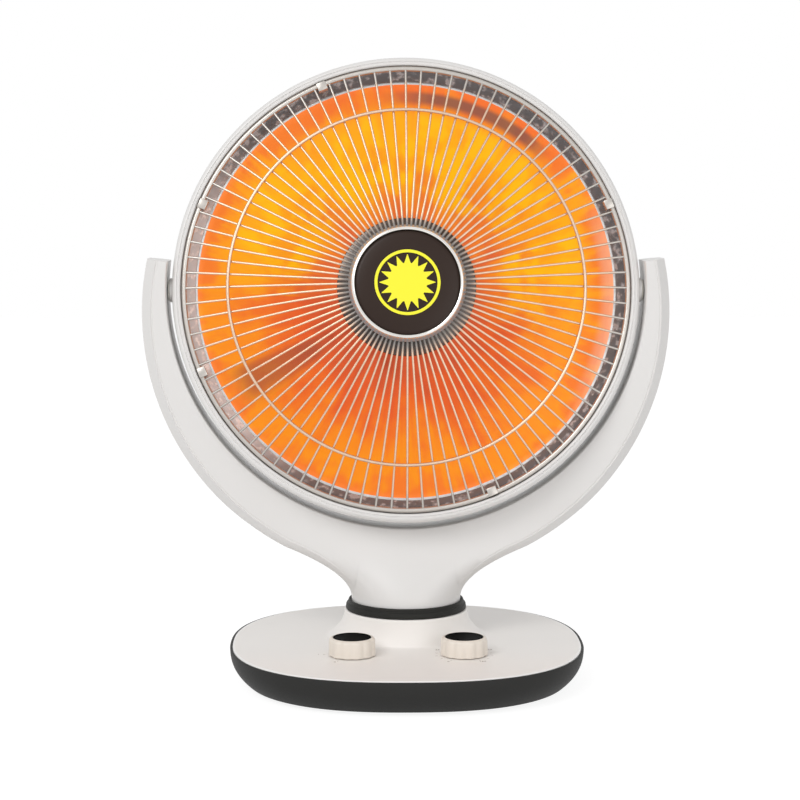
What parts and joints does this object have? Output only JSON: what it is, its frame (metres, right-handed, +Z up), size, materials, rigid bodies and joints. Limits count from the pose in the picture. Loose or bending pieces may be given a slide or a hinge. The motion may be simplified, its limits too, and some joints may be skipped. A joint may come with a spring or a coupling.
{
  "type": "parabolic heater",
  "caption": "Round dish heater behind a radial wire guard, tilting in a U-shaped yoke that swivels on a low base with two rotary controls.",
  "frame": {"origin": "on the floor under the middle of the base", "axes": "+Z up, -Y is the front that the dish faces, +X to the right seen from the front"},
  "size_m": [0.393, 0.262, 0.462],
  "materials": {
    "white_shell": "satin moulded ABS",
    "base_grey": "fine matt moulded ABS",
    "knob_cream": "satin moulded ABS",
    "black_plastic": "smooth moulded",
    "badge_brown": "smooth moulded",
    "emblem_yellow": "pad printed",
    "lit_reflector": "polished, lit orange by the element",
    "chrome": "bright plated",
    "guard_wire": "bright plated wire",
    "zinc_steel": "zinc plated",
    "ceramic": "unglazed",
    "glowing_wire": "oxidised resistance wire, glowing",
    "rubber": "matt",
    "nylon": "natural"
  },
  "bodies": {
    "base": {"base_pan": "base_grey", "base_cover": "white_shell", "rubber_foot_1": "rubber", "rubber_foot_2": "rubber", "rubber_foot_3": "rubber", "rubber_foot_4": "rubber", "base_screw_1": "zinc_steel", "base_screw_2": "zinc_steel", "base_screw_3": "zinc_steel", "base_screw_4": "zinc_steel", "ballast_plate": "zinc_steel", "collar_ring": "base_grey", "swivel_bearing": "nylon", "power_switch": "black_plastic", "timer_unit": "zinc_steel", "oscillation_motor": "zinc_steel", "terminal_block": "nylon", "cord_gland": "black_plastic", "tip_switch_housing": "black_plastic"},
    "plunger": {"tip_plunger": "nylon"},
    "power_control": {"power_knob": "knob_cream", "power_knob_cap": "black_plastic"},
    "timer_control": {"timer_knob": "knob_cream", "timer_knob_cap": "black_plastic"},
    "crank": {"drive_crank": "zinc_steel"},
    "link": {"link_rod": "zinc_steel"},
    "yoke": {"yoke_front": "white_shell", "yoke_rear": "white_shell", "yoke_screw_1": "zinc_steel", "yoke_screw_2": "zinc_steel", "pivot_bolt_left": "zinc_steel", "pivot_bolt_right": "zinc_steel", "friction_washer_left": "nylon", "friction_washer_right": "nylon", "swivel_post": "nylon", "post_clip": "zinc_steel", "drive_lever": "zinc_steel", "yoke_lead": "rubber"},
    "head": {"front_ring": "white_shell", "rear_shell": "white_shell", "shell_screw_1": "zinc_steel", "shell_screw_2": "zinc_steel", "shell_screw_3": "zinc_steel", "reflector": "lit_reflector", "trim_ring": "chrome", "wire_guard": "guard_wire", "guard_mid_ring": "guard_wire", "guard_clip_1": "zinc_steel", "guard_clip_2": "zinc_steel", "guard_clip_3": "zinc_steel", "guard_clip_4": "zinc_steel", "guard_clip_5": "zinc_steel", "hub_bezel": "chrome", "hub_badge": "badge_brown", "badge_emblem": "emblem_yellow", "element_socket": "ceramic", "element_core": "ceramic", "heating_coil": "glowing_wire", "element_shield": "chrome", "thermal_cutout": "black_plastic"}
  },
  "joints": [
    {"name": "yoke_pan", "type": "hinge", "parent": "base", "child": "yoke", "pos_m": [0, 0.02, 0.05], "axis": [0, 0, 1], "range_deg": [-35, 35]},
    {"name": "head_tilt", "type": "hinge", "parent": "yoke", "child": "head", "pos_m": [0, 0.02, 0.289], "axis": [-1, 0, 0], "range_deg": [-18, 20]},
    {"name": "power_knob_turn", "type": "hinge", "parent": "base", "child": "power_control", "pos_m": [-0.0408, -0.05, 0.03], "axis": [0, 0, -1], "range_deg": [0, 135]},
    {"name": "timer_knob_turn", "type": "hinge", "parent": "base", "child": "timer_control", "pos_m": [0.0408, -0.05, 0.03], "axis": [0, 0, -1], "range_deg": [0, 300]},
    {"name": "crank_spin", "type": "hinge", "parent": "base", "child": "crank", "pos_m": [0.022, 0.08, 0.02], "axis": [0, 0, 1], "continuous": true},
    {"name": "link_swing", "type": "hinge", "parent": "yoke", "child": "link", "pos_m": [0.022, 0.02, 0.022], "axis": [0, 0, 1], "range_deg": [-36, 36]},
    {"name": "plunger_slide", "type": "slide", "parent": "base", "child": "plunger", "axis": [0, 0, 1], "range_m": [-0.005, 0], "stiffness_N_per_m": 80, "springref_m": -0.006}
  ],
  "couplings": [
    {"joint": "link_swing", "follows": "yoke_pan", "ratio": -1}
  ]
}
